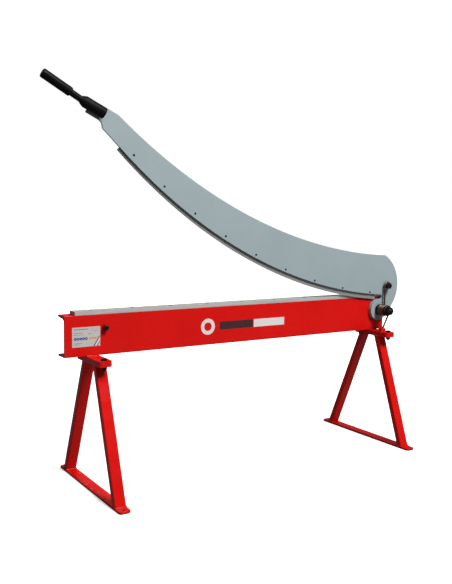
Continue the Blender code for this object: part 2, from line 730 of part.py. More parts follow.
def stand_bolts():
    """The bolts that hold the beam's cross plates to the stands' top plates, head up."""
    top = BEAM_BOTTOM
    spots = [(x, y) for x in TOP_X for y in TOP_BOLTS]
    heads = [Matrix.Translation((x, y, top)) for x, y in spots]
    length = 2 * TOP_THICK + TOP_BOLT_TAIL
    copies(bolt("stand_bolt", TOP_BOLT_FLATS, TOP_BOLT_HEAD, TOP_BOLT_RADIUS, length), heads)
    below = top - 2 * TOP_THICK - 3 * GAP
    under = [Matrix.Translation((x, y, below)) for x, y in spots]
    copies(nut("stand_nut", TOP_BOLT_FLATS, TOP_NUT_THICK, BOLT_CLEAR), under)


def place_origin():
    for obj in list(PARTS.objects) + list(CUTTERS.objects):
        obj.matrix_world = Matrix.Translation(-ORIGIN) @ obj.matrix_world


def hang_arm():
    """Parents what moves with the arm to an empty on the hinge's axis."""
    pivot = add("arm_pivot", None)
    pivot.matrix_world = Matrix.Translation(PIVOT - ORIGIN)
    bpy.context.view_layer.update()
    moving = {"arm_plate", "pivot_spacer", "upper_blade", "spring_hook_bolt"}
    moving |= {"handle_socket", "handle_rod", "handle_grip"}
    moving |= {f"arm_screw_{i + 1}" for i in range(SCREW_COUNT)}
    for obj in PARTS.objects:
        if obj.name in moving:
            obj.parent = pivot
            obj.matrix_parent_inverse = pivot.matrix_world.inverted()


def build():
    beam()
    lower_blade()
    arm_plate()
    upper_blade()
    handle()
    pivot_stack()
    spring()
    spring_hook_bolt()
    spring_anchor()
    stop_bolt()
    rating_plate()
    for side, x, top_x in zip(("left", "right"), STAND_X, TOP_X):
        stand(side, x, top_x)
    stand_bolts()
    bpy.context.view_layer.update()
    place_origin()
    for obj in PARTS.objects:
        smooth(obj)
    hang_arm()


build()
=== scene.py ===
"""Looks for the hand lever shear: finishes, small hardware, welds, print, light and camera.

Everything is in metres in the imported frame. Places come from the CAD nodes' boxes and from
the hinge; at() turns machine coordinates (from the beam's left end, the web's front face and
the floor) into that frame.
"""

import json
import math
import random

import bmesh
import bpy
from mathutils import Matrix, Vector, noise


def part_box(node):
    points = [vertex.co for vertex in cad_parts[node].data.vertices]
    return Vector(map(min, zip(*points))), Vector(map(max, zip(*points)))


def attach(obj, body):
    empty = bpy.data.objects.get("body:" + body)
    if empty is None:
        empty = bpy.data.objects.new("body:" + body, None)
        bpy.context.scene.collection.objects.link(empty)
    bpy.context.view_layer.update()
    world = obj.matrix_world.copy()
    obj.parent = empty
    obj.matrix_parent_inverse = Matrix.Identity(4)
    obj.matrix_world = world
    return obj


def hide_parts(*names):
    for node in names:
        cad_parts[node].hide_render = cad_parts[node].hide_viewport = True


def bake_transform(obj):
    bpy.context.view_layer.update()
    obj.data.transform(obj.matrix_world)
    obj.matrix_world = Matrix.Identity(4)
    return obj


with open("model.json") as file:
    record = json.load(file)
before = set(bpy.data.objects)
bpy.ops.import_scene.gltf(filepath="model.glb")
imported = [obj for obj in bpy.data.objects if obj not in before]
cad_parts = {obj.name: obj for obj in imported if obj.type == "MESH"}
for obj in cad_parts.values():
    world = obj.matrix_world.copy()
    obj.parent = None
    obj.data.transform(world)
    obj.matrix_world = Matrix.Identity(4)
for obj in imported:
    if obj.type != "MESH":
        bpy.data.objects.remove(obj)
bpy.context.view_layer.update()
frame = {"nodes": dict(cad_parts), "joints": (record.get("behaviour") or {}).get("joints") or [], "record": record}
RECORD = frame["record"]
SLOT_OF = {part["node"]: part["material_slot"] for part in RECORD["subparts"]}
BODY_OF = {node: body for body, nodes in RECORD["behaviour"]["bodies"].items() for node in nodes}
BEAM_LOW, BEAM_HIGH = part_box("beam_channel")
HINGE = Vector(frame["joints"][0]["pos_m"])
PIVOT = Vector((HINGE.x, BEAM_LOW.y, HINGE.z))
MM = 0.001

# The return spring: its wire's radius, the coil and how far from the web it starts, the lower
# leg, and the hook
WIRE = 3.75 * MM
COIL_RADIUS = 20.5 * MM
COIL_PITCH = 7.9 * MM
COIL_TURNS = 4
COIL_NEAR = 27.95 * MM
WIRE_LEG_TILT = math.radians(28.0)
WIRE_LEG_LENGTH = 78.5 * MM
HOOK_RADIUS = 14.5 * MM
HOOK_HEIGHT = 102.0 * MM

# The arc blade's centre, the handle's two leans, and the socket's mouth as at() takes x and z
BLADE_CENTRE = Vector((BEAM_LOW.x + 1.5764, 0.0, 2.5655))
TONGUE_TILT = math.radians(25.1)
ROD_TILT = math.radians(28.9)
SOCKET_MOUTH = (0.0503, 1.3046)

# The stands' legs: where the outside meets the foot and the top, along Y, and the way inward
LEG_SHAPE = {"front": (-0.2140, -0.0590, 1), "back": (0.2450, 0.0585, -1)}
LEG_DEPTH = 26.6 * MM
LEG_CORNER = 4.0 * MM

# Weld beads' radii, the length of one ripple and the distance between the bead's rings
LEG_BEAD = 2.7 * MM
BEAM_BEAD = 2.4 * MM
SOCKET_BEAD = 2.0 * MM
ANCHOR_BEAD = 1.8 * MM
RIPPLE = 3.3 * MM
BEAD_STEP = 1.1 * MM

# The pivot: the radius of the hole through the stack, the bolt's radius, and its head and nut
# across the flats
PIVOT_BORE = 10.2 * MM
PIVOT_SHANK = 9.9 * MM
PIVOT_FLATS = 30.0 * MM

# The thickness of printing ink, and the step from one printed layer to the next
INK = 0.05 * MM
INK_LIFT = 0.06 * MM

FACING_FRONT = Matrix.Rotation(math.pi / 2, 4, "X")
FACING_BACK = Matrix.Rotation(-math.pi / 2, 4, "X")


def at(x, y, z):
    """A point given from the beam's left end, the web's front face and the floor."""
    return Vector((BEAM_LOW.x + x, BEAM_LOW.y + y, z))


def middle(node):
    low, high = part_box(node)
    return (low + high) / 2


# ------------------------------------------------------------------ materials


class Finish:
    """A Principled material and short ways to add the nodes that vary it."""

    def __init__(self, name, roughness, metallic=0.0):
        self.material = bpy.data.materials.new(name)
        self.material.use_nodes = True
        self.tree = self.material.node_tree
        self.shader = self.tree.nodes["Principled BSDF"]
        self.shader.inputs["Roughness"].default_value = roughness
        self.shader.inputs["Metallic"].default_value = metallic
        self.place = self.tree.nodes.new("ShaderNodeTexCoord").outputs["Object"]
        self.last_bump = None

    def link(self, source, target):
        self.tree.links.new(source, target)

    def noise(self, scale, detail=3.0, stretch=(1, 1, 1), roughness=0.5, place=None):
        mapping = self.tree.nodes.new("ShaderNodeMapping")
        mapping.inputs["Scale"].default_value = stretch
        self.link(place or self.place, mapping.inputs["Vector"])
        node = self.tree.nodes.new("ShaderNodeTexNoise")
        node.inputs["Scale"].default_value = scale
        node.inputs["Detail"].default_value = detail
        node.inputs["Roughness"].default_value = roughness
        self.link(mapping.outputs["Vector"], node.inputs["Vector"])
        return node.outputs["Fac"]

    def scaled(self, value, low, high, start=0.3, end=0.7):
        node = self.tree.nodes.new("ShaderNodeMapRange")
        node.inputs["From Min"].default_value = start
        node.inputs["From Max"].default_value = end
        node.inputs["To Min"].default_value = low
        node.inputs["To Max"].default_value = high
        self.link(value, node.inputs["Value"])
        return node.outputs["Result"]

    def ramp(self, value, *stops):
        """A colour ramp: each stop is (position, (r, g, b))."""
        node = self.tree.nodes.new("ShaderNodeValToRGB")
        while len(node.color_ramp.elements) < len(stops):
            node.color_ramp.elements.new(0.5)
        for element, (position, colour) in zip(node.color_ramp.elements, stops):
            element.position = position
            element.color = (*colour, 1.0)
        self.link(value, node.inputs["Fac"])
        return node.outputs["Color"]

    def mix(self, factor, first, second):
        """second over first by factor; each is an output or a colour."""
        node = self.tree.nodes.new("ShaderNodeMix")
        node.data_type = "RGBA"
        for socket, value in zip((node.inputs[6], node.inputs[7]), (first, second)):
            if isinstance(value, tuple):
                socket.default_value = (*value, 1.0)
            else:
                self.link(value, socket)
        self.link(factor, node.inputs[0])
        return node.outputs[2]

    def maths(self, operation, first, second):
        node = self.tree.nodes.new("ShaderNodeMath")
        node.operation = operation
        for socket, value in zip(node.inputs, (first, second)):
            if isinstance(value, (int, float)):
                socket.default_value = value
            else:
                self.link(value, socket)
        return node.outputs[0]

    def vector(self, operation, first, second=None):
        node = self.tree.nodes.new("ShaderNodeVectorMath")
        node.operation = operation
        self.link(first, node.inputs[0])
        if second is not None:
            node.inputs[1].default_value = second
        return node.outputs["Value" if operation == "LENGTH" else "Vector"]

    def colour(self, output):
        self.link(output, self.shader.inputs["Base Color"])

    def rough(self, output):
        self.link(output, self.shader.inputs["Roughness"])

    def bump(self, height, distance, strength=1.0):
        node = self.tree.nodes.new("ShaderNodeBump")
        node.inputs["Strength"].default_value = strength
        node.inputs["Distance"].default_value = distance
        self.link(height, node.inputs["Height"])
        if self.last_bump:
            self.link(self.last_bump, node.inputs["Normal"])
        self.last_bump = node.outputs["Normal"]
        self.link(self.last_bump, self.shader.inputs["Normal"])

    def corner_shade_mask(self, reach):
        """A painted-shade mask from ambient occlusion: 0 in the open, rising to 1 in corners within reach."""
        node = self.tree.nodes.new("ShaderNodeAmbientOcclusion")
        node.inputs["Distance"].default_value = reach
        node.samples = 8
        return self.scaled(node.outputs["AO"], 1.0, 0.0, 0.35, 0.95)


def sprayed(name, light, dark, shade_tone, roughness, gloss, coat):
    """Sprayed enamel: faint cloudiness, orange peel, and a little painted shade in the corners."""
    made = Finish(name, roughness)
    cloud = made.ramp(made.noise(5.0, 4.0), (0.30, dark), (0.70, light))
    fleck = made.scaled(made.noise(900.0, 2.0), 0.0, 0.18, 0.62, 0.78)
    cloud = made.mix(fleck, cloud, dark)
    # Painted shade: the colour darkens towards the shade tone in corners, by ambient occlusion
    painted_shade = made.maths("MULTIPLY", made.corner_shade_mask(0.012), 0.55)
    made.colour(made.mix(painted_shade, cloud, shade_tone))
    smear = made.noise(14.0, 5.0, (1.0, 1.0, 2.5))
    made.rough(made.scaled(smear, roughness - 0.06, roughness + 0.10))
    made.bump(made.noise(480.0, 2.0), 0.00012, 0.55)
    made.bump(made.noise(22.0, 2.0), 0.0006, 0.35)
    made.shader.inputs["Specular IOR Level"].default_value = gloss
    made.shader.inputs["Coat Weight"].default_value = coat
    made.shader.inputs["Coat Roughness"].default_value = 0.15
    return made.material


def along_arc(made):
    """The object's coordinates, with Z replaced by the distance from the arc blade's centre."""
    apart = made.vector("SUBTRACT", made.place, BLADE_CENTRE)
    length = made.vector("LENGTH", made.vector("MULTIPLY", apart, (1.0, 0.0, 1.0)))
    split = made.tree.nodes.new("ShaderNodeSeparateXYZ")
    made.link(made.place, split.inputs[0])
    joined = made.tree.nodes.new("ShaderNodeCombineXYZ")
    made.link(split.outputs["X"], joined.inputs["X"])
    made.link(split.outputs["Y"], joined.inputs["Y"])
    made.link(length, joined.inputs["Z"])
    return joined.outputs[0]


def ground_steel(name, radial, light, dark):
    """Bare blade steel with grinding lines, straight along X or round the arc blade's centre."""
    made = Finish(name, 0.34, 0.30)
    place = along_arc(made) if radial else made.place
    lines = made.noise(1.0, 3.0, (5.0, 420.0, 620.0), 0.6, place)
    stains = made.noise(9.0, 6.0, (1.0, 3.0, 3.0), 0.6, place)
    steel = made.ramp(lines, (0.35, dark), (0.65, light))
    oily = tuple(0.62 * c for c in dark)
    made.colour(made.mix(made.scaled(stains, 0.0, 0.5, 0.50, 0.72), steel, oily))
    made.rough(made.scaled(made.maths("ADD", lines, stains), 0.24, 0.48, 0.7, 1.3))
    made.bump(lines, 0.00003, 0.5)
    return made.material


def dark_steel(name, light, dark, roughness, grain=350.0, metallic=0.75):
    """Blackened or oil-tempered steel: mottled, a little glossier where the oil lies, with painted shade in its
    corners.
    """
    made = Finish(name, roughness, metallic)
    mottle = made.noise(grain, 4.0, roughness=0.65)
    patch = made.noise(60.0, 4.0)
    both = made.maths("MULTIPLY", made.maths("ADD", mottle, patch), 0.5)
    tone = made.ramp(both, (0.38, dark), (0.62, light))
    # Painted shade: the tone darkens towards near black in corners, by ambient occlusion
    painted_shade = made.maths("MULTIPLY", made.corner_shade_mask(0.004), 0.5)
    made.colour(made.mix(painted_shade, tone, (0.004, 0.003, 0.003)))
    made.rough(made.scaled(patch, roughness - 0.10, roughness + 0.14))
    made.bump(mottle, 0.00008, 0.6)
    return made.material


def grip_plastic():
    """The dipped grip: near black, softly glossy, with the skin's fine grain."""
    made = Finish("grip_plastic", 0.42)
    made.shader.inputs["Specular IOR Level"].default_value = 0.12
    soft = made.noise(70.0, 4.0)
    made.colour(made.ramp(soft, (0.30, (0.0025, 0.0024, 0.0025)), (0.70, (0.0050, 0.0048, 0.0049))))
    made.rough(made.scaled(soft, 0.34, 0.52))
    made.bump(made.noise(1400.0, 3.0), 0.00010, 0.5)
    made.bump(made.noise(40.0, 2.0), 0.0004, 0.3)
    return made.material


def label_film():
    """The rating plate's silver film, with a faint brushed run and rubbed edges."""
    made = Finish("label_film", 0.38, 0.15)
    brushed = made.noise(1.0, 4.0, (20.0, 20.0, 1600.0), 0.7)
    worn = made.noise(40.0, 5.0)
    film = made.ramp(brushed, (0.35, (0.50, 0.50, 0.475)), (0.65, (0.60, 0.60, 0.57)))
    made.colour(made.mix(made.scaled(worn, 0.0, 0.35, 0.55, 0.75), film, (0.42, 0.41, 0.39)))
    made.rough(made.scaled(worn, 0.30, 0.50))
    made.bump(brushed, 0.00003, 0.4)
    return made.material


def printed(name, ink):
    """Printing ink, slightly broken where the film shows through."""
    made = Finish(name, 0.5)
    thin = tuple(0.85 * c + 0.03 for c in ink)
    made.colour(made.ramp(made.noise(1500.0, 3.0), (0.42, ink), (0.72, thin)))
    made.rough(made.scaled(made.noise(90.0, 3.0), 0.42, 0.60))
    return made.material


def seen_or_felt(tree, seen, felt):
    """The first shader where the camera sees it directly, the second wherever its light falls."""
    path = tree.nodes.new("ShaderNodeLightPath")
    both = tree.nodes.new("ShaderNodeMixShader")
    tree.links.new(path.outputs["Is Camera Ray"], both.inputs[0])
    tree.links.new(felt, both.inputs[1])
    tree.links.new(seen, both.inputs[2])
    return both.outputs[0]


def floor_paint():
    """White paper that keeps a faint shadow near the feet and fades into the backdrop."""
    made = Finish("floor_white", 0.9)
    paper = made.noise(2.0, 3.0)
    made.colour(made.ramp(paper, (0.3, (0.915, 0.915, 0.915)), (0.7, (0.93, 0.93, 0.93))))
    glow = made.scaled(made.vector("LENGTH", made.place), 0.55, 1.0, 1.0, 3.2)
    made.link(glow, made.shader.inputs["Emission Strength"])
    made.shader.inputs["Emission Color"].default_value = (1.0, 1.0, 1.0, 1.0)
    dull = made.tree.nodes.new("ShaderNodeBsdfDiffuse")
    dull.inputs["Color"].default_value = (0.16, 0.16, 0.16, 1.0)
    out = made.tree.nodes["Material Output"]
    made.link(seen_or_felt(made.tree, made.shader.outputs[0], dull.outputs[0]), out.inputs["Surface"])
    return made.material


# Each paint's light tone, dark tone and the colour of the painted shade in its corners
RED = ((0.640, 0.0060, 0.0042), (0.575, 0.0050, 0.0035), (0.10, 0.003, 0.002))
GREY = ((0.300, 0.362, 0.378), (0.277, 0.334, 0.349), (0.10, 0.115, 0.12))
BLACK = ((0.0050, 0.0046, 0.0046), (0.0030, 0.0030, 0.0030), (0.001, 0.001, 0.001))
PAINTS = {
    "red_paint": sprayed("red_paint", *RED, roughness=0.24, gloss=0.18, coat=0.04),
    "grey_paint": sprayed("grey_paint", *GREY, roughness=0.42, gloss=0.30, coat=0.03),
    "black_paint": sprayed("black_paint", *BLACK, roughness=0.42, gloss=0.12, coat=0.0),
    "blade_steel": ground_steel("blade_steel", False, (0.62, 0.61, 0.585), (0.49, 0.48, 0.46)),
    "black_steel": dark_steel("black_steel", (0.030, 0.028, 0.027), (0.012, 0.011, 0.011), 0.42),
    "spring_steel": dark_steel("spring_steel", (0.230, 0.130, 0.100), (0.060, 0.036, 0.030), 0.40, 260.0),
    "grip_plastic": grip_plastic(),
    "label_film": label_film(),
}
# Painted shade: the lower blade's ground steel in darker tones, for the arc blade's face in the plate's shadow
SHADED_ARC_STEEL = ground_steel("arc_blade_steel_shaded", True, (0.390, 0.382, 0.380), (0.270, 0.263, 0.261))


# ------------------------------------------------------------------ shapes


def finished(name, work, node, paint=None, replaces=(), smooth_to=35, rides=True):
    """Puts a mesh in the scene in a CAD node's finish, riding with that node's body if rides."""
    bmesh.ops.recalc_face_normals(work, faces=work.faces[:])
    mesh = bpy.data.meshes.new(name)
    work.to_mesh(mesh)
    work.free()
    mesh.materials.append(paint or PAINTS[SLOT_OF[node]])
    mesh.shade_smooth()
    mesh.set_sharp_from_angle(angle=math.radians(smooth_to))
    obj = bpy.data.objects.new(name, mesh)
    bpy.context.scene.collection.objects.link(obj)
    if rides:
        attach(obj, BODY_OF[node])
    if replaces:
        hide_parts(*replaces)
    return obj


def refit(node, work, **options):
    """Puts a CAD node's finer shape in the scene in its place."""
    return finished(node + "_fine", work, node, replaces=(node,), **options)


def around(steps):
    """Even angles for one turn."""
    return [2 * math.pi * i / steps for i in range(steps)]


def polar(place, radius, angle, height):
    """A point about a place's Z axis."""
    return place @ Vector((radius * math.cos(angle), radius * math.sin(angle), height))


def six_sided(flats, angle):
    """How far a hexagon reaches from its centre in a direction."""
    return flats / 2 / math.cos((angle + math.pi / 6) % (math.pi / 3) - math.pi / 6)


def skin(work, rings, wrap=False):
    """Faces between rings of points. wrap joins the last ring to the first, or both ends are capped."""
    made = [[work.verts.new(point) for point in ring] for ring in rings]
    pairs = list(zip(made, made[1:]))
    if wrap:
        pairs.append((made[-1], made[0]))
    count = len(made[0])
    for first, second in pairs:
        for i in range(count):
            j = (i + 1) % count
            work.faces.new((first[i], first[j], second[j], second[i]))
    if not wrap:
        work.faces.new(made[0][::-1])
        work.faces.new(made[-1])


def eased(points, radius, closed=False, steps=3):
    """A line of points with its corners rounded, as far as the lengths beside them allow."""
    points = [Vector(p) for p in points]
    result = []
    for i, corner in enumerate(points):
        if not closed and i in (0, len(points) - 1):
            result.append(corner)
            continue
        before, after = points[i - 1] - corner, points[(i + 1) % len(points)] - corner
        half = before.angle(after) / 2
        reach = min(radius / math.tan(half), 0.45 * before.length, 0.45 * after.length)
        start, end = corner + before.normalized() * reach, corner + after.normalized() * reach
        for k in range(steps + 1):
            t = k / steps
            result.append((1 - t) ** 2 * start + 2 * t * (1 - t) * corner + t * t * end)
    return result


def lathe(work, place, profile, edge=0.0006, bored=False, steps=56):
    """A turned shape about Z at a place, from (radius, height) points, with eased corners."""
    line = eased([(r, 0.0, z) for r, z in profile], edge, bored)
    skin(work, [[polar(place, p.x, a, p.z) for a in around(steps)] for p in line], bored)


def hexagon(work, place, flats, low, high, bore=0.0, steps=72):
    """A nut or bolt head about Z, with the round chamfer that turning leaves on its corners."""
    turns = around(steps)
    corner = [six_sided(flats, a) for a in turns]
    shoulder = 0.475 * flats
    chamfer = math.tan(math.radians(28))
    drop = [(r - shoulder) * chamfer for r in corner]

    def ring(radii, heights):
        return [polar(place, r, a, z) for a, r, z in zip(turns, radii, heights)]

    rings = [
        ring([shoulder] * steps, [low] * steps),
        ring(corner, [low + d for d in drop]),
        ring(corner, [high - d for d in drop]),
        ring([shoulder] * steps, [high] * steps),
    ]
    if bore:
        lead = 0.9 * MM
        rings.append(ring([bore + lead] * steps, [high] * steps))
        rings.append(ring([bore] * steps, [high - lead] * steps))
        rings.append(ring([bore] * steps, [low] * steps))
    skin(work, rings, bool(bore))


def thread(work, place, radius, pitch, low, high, steps=40):
    """A bolt's threaded length about Z: one helical groove, narrowed where it meets the shank."""
    depth = 0.54 * pitch
    count = max(8, int((high - low) / pitch * 8))
    rings = []
    for k in range(count + 1):
        z = low + (high - low) * k / count
        fade = min(1.0, (z - low) / pitch)
        ring = []
        for a in around(steps):
            wave = abs(((z / pitch - a / (2 * math.pi)) % 1.0) * 2 - 1)
            ring.append(polar(place, radius - depth * max(wave, 1.0 - fade), a, z))
        rings.append(ring)
    skin(work, rings)


def sweep(work, path, radii, up=None, sides=12, closed=False):
    """A tube along a path, with a radius for each point."""
    count = len(path)
    rings = []
    side = None
    for i, point in enumerate(path):
        ahead = path[(i + 1) % count] if closed or i + 1 < count else path[i]
        behind = path[i - 1] if closed or i else path[i]
        along = (ahead - behind).normalized()
        if up is not None:
            side = along.cross(up).normalized()
        elif side is None:
            side = along.orthogonal().normalized()
        else:
            side = (side - along * side.dot(along)).normalized()
        other = side.cross(along)
        outward = [side * math.cos(a) + other * math.sin(a) for a in around(sides)]
        rings.append([point + radii[i] * out for out in outward])
    skin(work, rings, closed)


def spaced(path, step, closed=False):
    """The path's points again, at even distances along it."""
    corners = list(path) + ([path[0]] if closed else [])
    lengths = [(b - a).length for a, b in zip(corners, corners[1:])]
    total = sum(lengths)
    count = max(2, round(total / step))
    result = []
    for k in range(count if closed else count + 1):
        left = total * k / count
        for a, b, length in zip(corners, corners[1:], lengths):
            if left <= length or b is corners[-1]:
                result.append(a.lerp(b, min(1.0, left / max(length, 1e-9))))
                break
            left -= length
    return result


def bead(name, node, path, radius, up, closed=False):
    """A painted weld along a seam, with the ripples that the arc leaves."""
    points = spaced(path, BEAD_STEP, closed)
    radii = []
    for i, point in enumerate(points):
        ripple = 0.07 * math.cos(2 * math.pi * i * BEAD_STEP / RIPPLE)
        uneven = 0.16 * noise.noise(point * 90.0)
        radii.append(radius * (1.0 + ripple + uneven))
    work = bmesh.new()
    sweep(work, points, radii, up, 10, closed)
    finished(name, work, node, smooth_to=60)


def refined(node, width, paint=None, segments=2):
    """A CAD node's own shape, with its sharp edges rounded as paint or a file leaves them."""
    same_point, same_face, sharp_from = 0.004 * MM, math.radians(0.4), math.radians(38)
    work = bmesh.new()
    work.from_mesh(frame["nodes"][node].data)
    bmesh.ops.remove_doubles(work, verts=work.verts[:], dist=same_point)
    bmesh.ops.dissolve_limit(work, angle_limit=same_face, verts=work.verts[:], edges=work.edges[:])
    sharp = [e for e in work.edges if len(e.link_faces) == 2 and e.calc_face_angle() > sharp_from]
    bmesh.ops.bevel(work, geom=sharp, offset=width, segments=segments, profile=0.6,
                    affect="EDGES", clamp_overlap=True)
    obj = refit(node, work, paint=paint)
    weights = obj.modifiers.new("even_shading", "WEIGHTED_NORMAL")
    weights.keep_sharp = True


# ------------------------------------------------------------------ the machine


def plates_and_beam():
    """The beam, plates, legs, feet and blades, each with an edge radius to suit it."""
    for node, width in (("beam_channel", 0.8), ("arm_plate", 0.7), ("pivot_spacer", 0.7)):
        refined(node, width * MM)
    for node in ("cross_plate", "stand_top_plate", "foot_bar"):
        for side in ("left", "right"):
            refined(f"{node}_{side}", 1.1 * MM, segments=3)
    for end in ("front", "back"):
        for side in ("left", "right"):
            refined(f"{end}_leg_{side}", 0.4 * MM)
    refined("spring_anchor", 1.2 * MM, segments=3)
    refined("lower_blade", 0.3 * MM)
    refined("upper_blade", 0.3 * MM, SHADED_ARC_STEEL)
    refined("rating_plate", 0.2 * MM)


def leg_outline(side, end, height):
    """Where a leg's outside meets a level plane, as a loop with round corners."""
    low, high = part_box(f"{end}_leg_{side}")
    foot, top, inward = LEG_SHAPE[end]
    share = (height - low.z) / (high.z - low.z)
    outer = BEAM_LOW.y + foot + (top - foot) * share
    inner = outer + inward * LEG_DEPTH
    corners = [(low.x, outer), (high.x, outer), (high.x, inner), (low.x, inner)]
    return eased([Vector((x, y, height)) for x, y in corners], LEG_CORNER, True)


def welds():
    """The beads round the legs, along the beam on its cross plates, and at anchor and socket."""
    up = Vector((0.0, 0.0, 1.0))
    inset = 2.0 * MM
    for side in ("left", "right"):
        for end in ("front", "back"):
            low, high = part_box(f"{end}_leg_{side}")
            for label, z, node in (("foot", low.z, "foot_bar"), ("top", high.z, "stand_top_plate")):
                path = leg_outline(side, end, z)
                bead(f"weld_{end}_{label}_{side}", f"{node}_{side}", path, LEG_BEAD, up, True)
        low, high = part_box(f"cross_plate_{side}")
        for label, y in (("front", BEAM_LOW.y), ("back", BEAM_HIGH.y)):
            ends = [Vector((x, y, BEAM_LOW.z)) for x in (low.x + inset, high.x - inset)]
            bead(f"weld_beam_{label}_{side}", f"cross_plate_{side}", ends, BEAM_BEAD, up)
    low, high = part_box("spring_anchor")
    loop = [(low.x, low.y), (high.x, low.y), (high.x, high.y), (low.x, high.y)]
    path = eased([Vector((x, y, low.z)) for x, y in loop], 1.5 * MM, True)
    bead("weld_anchor", "spring_anchor", path, ANCHOR_BEAD, up, True)
    socket_weld()


def tilted(tilt, y):
    """The place of a shape about Z whose top points up and to the left from the socket's mouth."""
    spot = Vector((BEAM_LOW.x + SOCKET_MOUTH[0], y, SOCKET_MOUTH[1]))
    return Matrix.Translation(spot) @ Matrix.Rotation(tilt - math.pi / 2, 4, "Y")


def socket_weld():
    """One bead on the tongue: along the socket, across its closed end and back."""
    low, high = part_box("handle_socket")
    centre = (low.y + high.y) / 2
    sink = 0.4 * MM
    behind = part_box("arm_plate")[0].y + sink - centre
    beside, start, end = 8.8 * MM, -30.0 * MM, -86.2 * MM
    corners = [(beside, start), (beside, end), (-beside, end), (-beside, start)]
    place = tilted(TONGUE_TILT, centre)
    path = [place @ p for p in eased([(x, behind, z) for x, z in corners], 6.0 * MM)]
    bead("weld_socket", "handle_socket", path, SOCKET_BEAD, Vector((0.0, 1.0, 0.0)))


def handle():
    """The bored socket, the rod in it at a lean of its own, and the dipped grip over the rod."""
    low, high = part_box("handle_socket")
    centre = (low.y + high.y) / 2
    place = tilted(TONGUE_TILT, centre)
    outer, lip, bore = 19.0 * MM, 13.5 * MM, 13.0 * MM
    bored, taper, length = 30.0 * MM, 13.0 * MM, 86.5 * MM
    work = bmesh.new()
    lathe(work, place, [(bore, -bored), (bore, 0.0), (lip, 0.0), (outer, -taper), (outer, -length)], 0.8 * MM)
    refit("handle_socket", work)

    place = tilted(ROD_TILT, centre)
    rod, seated, rod_top = 11.0 * MM, 24.0 * MM, 134.3 * MM
    work = bmesh.new()
    lathe(work, place, [(rod, rod_top), (rod, -seated)], 0.8 * MM)
    refit("handle_rod", work)

    grip = [(11.2, 41.2), (13.8, 40.7), (15.25, 43.2), (15.25, 139.5),
            (14.8, 144.3), (12.8, 146.0), (4.0, 146.3)]
    work = bmesh.new()
    lathe(work, place, [(r * MM, z * MM) for r, z in grip], 2.2 * MM)
    refit("handle_grip", work)


def round_part(node):
    """A round CAD node's radius about Y, and how far in front of the web its back and front are."""
    low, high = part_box(node)
    return (high.x - low.x) / 2, BEAM_LOW.y - high.y, BEAM_LOW.y - low.y


def on_web(node):
    """A place at the web's front face, in line with a CAD node, whose Z points to the front."""
    spot = middle(node)
    return Matrix.Translation(Vector((spot.x, BEAM_LOW.y, spot.z))) @ FACING_FRONT


def turned(degrees):
    return Matrix.Rotation(math.radians(degrees), 4, "Z")


def pivot_hardware():
    """The bush, collar and nut in front of the web, the washer behind it, and their bolt."""
    place = Matrix.Translation(PIVOT) @ FACING_FRONT
    sleeve, flange_thick = 15.5 * MM, 7.0 * MM
    radius, back, front = round_part("pivot_bush")
    flange = back + flange_thick
    work = bmesh.new()
    lathe(work, place, [(sleeve, front), (sleeve, flange), (radius, flange), (radius, back),
                        (PIVOT_BORE, back), (PIVOT_BORE, front)], 0.8 * MM, True)
    refit("pivot_bush", work)

    radius, back, front = round_part("pivot_collar")
    bevel = 1.5 * MM
    work = bmesh.new()
    lathe(work, place, [(radius - bevel, front), (radius, front - bevel), (radius, back),
                        (PIVOT_BORE, back), (PIVOT_BORE, front)], 0.6 * MM, True)
    refit("pivot_collar", work)

    _, back, front = round_part("pivot_nut")
    work = bmesh.new()
    hexagon(work, place @ turned(30), PIVOT_FLATS, back, front, PIVOT_BORE)
    refit("pivot_nut", work)

    radius, back, front = round_part("pivot_washer")
    bore = PIVOT_BORE + 0.1 * MM
    work = bmesh.new()
    lathe(work, place, [(radius, front), (radius, back), (bore, back), (bore, front)], 0.5 * MM, True)
    refit("pivot_washer", work)

    _, back, front = round_part("pivot_bolt")
    head, threaded, tip = 12.5 * MM, 29.0 * MM, 1.6 * MM
    work = bmesh.new()
    hexagon(work, place, PIVOT_FLATS, back, back + head)
    plain = [(PIVOT_SHANK, back + head - 2.5 * MM), (PIVOT_SHANK, front - threaded + 1.0 * MM)]
    lathe(work, place, plain, 0.2 * MM)
    thread(work, place, PIVOT_SHANK, 2.5 * MM, front - threaded, front - tip)
    point = [(8.6 * MM, front - 4.0 * MM), (8.4 * MM, front - 1.2 * MM), (7.4 * MM, front)]
    lathe(work, place, point, 0.5 * MM)
    refit("pivot_bolt", work)


def stop_hardware():
    """The stop bolt, with a round collar in front of the web and its thread and nut behind."""
    place = on_web("stop_bolt")
    _, back, front = round_part("stop_bolt")
    head, collar, shank = 7.5 * MM, 8.5 * MM, 5.9 * MM
    work = bmesh.new()
    hexagon(work, place @ turned(12), 17.0 * MM, front - head, front)
    lathe(work, place, [(collar, front - head - 0.3 * MM), (collar, 0.3 * MM)], 0.6 * MM)
    lathe(work, place, [(shank, 2.0 * MM), (shank, back + 10.0 * MM)], 0.2 * MM)
    thread(work, place @ Matrix.Rotation(math.pi, 4, "X"), shank, 1.75 * MM, 7.5 * MM, -back)
    refit("stop_bolt", work)

    _, back, front = round_part("stop_nut")
    work = bmesh.new()
    hexagon(work, place, 18.0 * MM, back, front, shank + 0.2 * MM)
    refit("stop_nut", work)


def hook_bolt():
    """The bolt on the arm: its head, the neck that the spring's hook lies round, and its stem."""
    place = on_web("spring_hook_bolt")
    _, back, front = round_part("spring_hook_bolt")
    neck, stem, step = 9.5 * MM, 7.0 * MM, 16.9 * MM
    head = front - 10.0 * MM
    work = bmesh.new()
    hexagon(work, place @ turned(20), 23.8 * MM, head, front)
    lathe(work, place, [(neck, head + 1.0 * MM), (neck, step), (stem, step), (stem, back)], 0.4 * MM)
    refit("spring_hook_bolt", work)


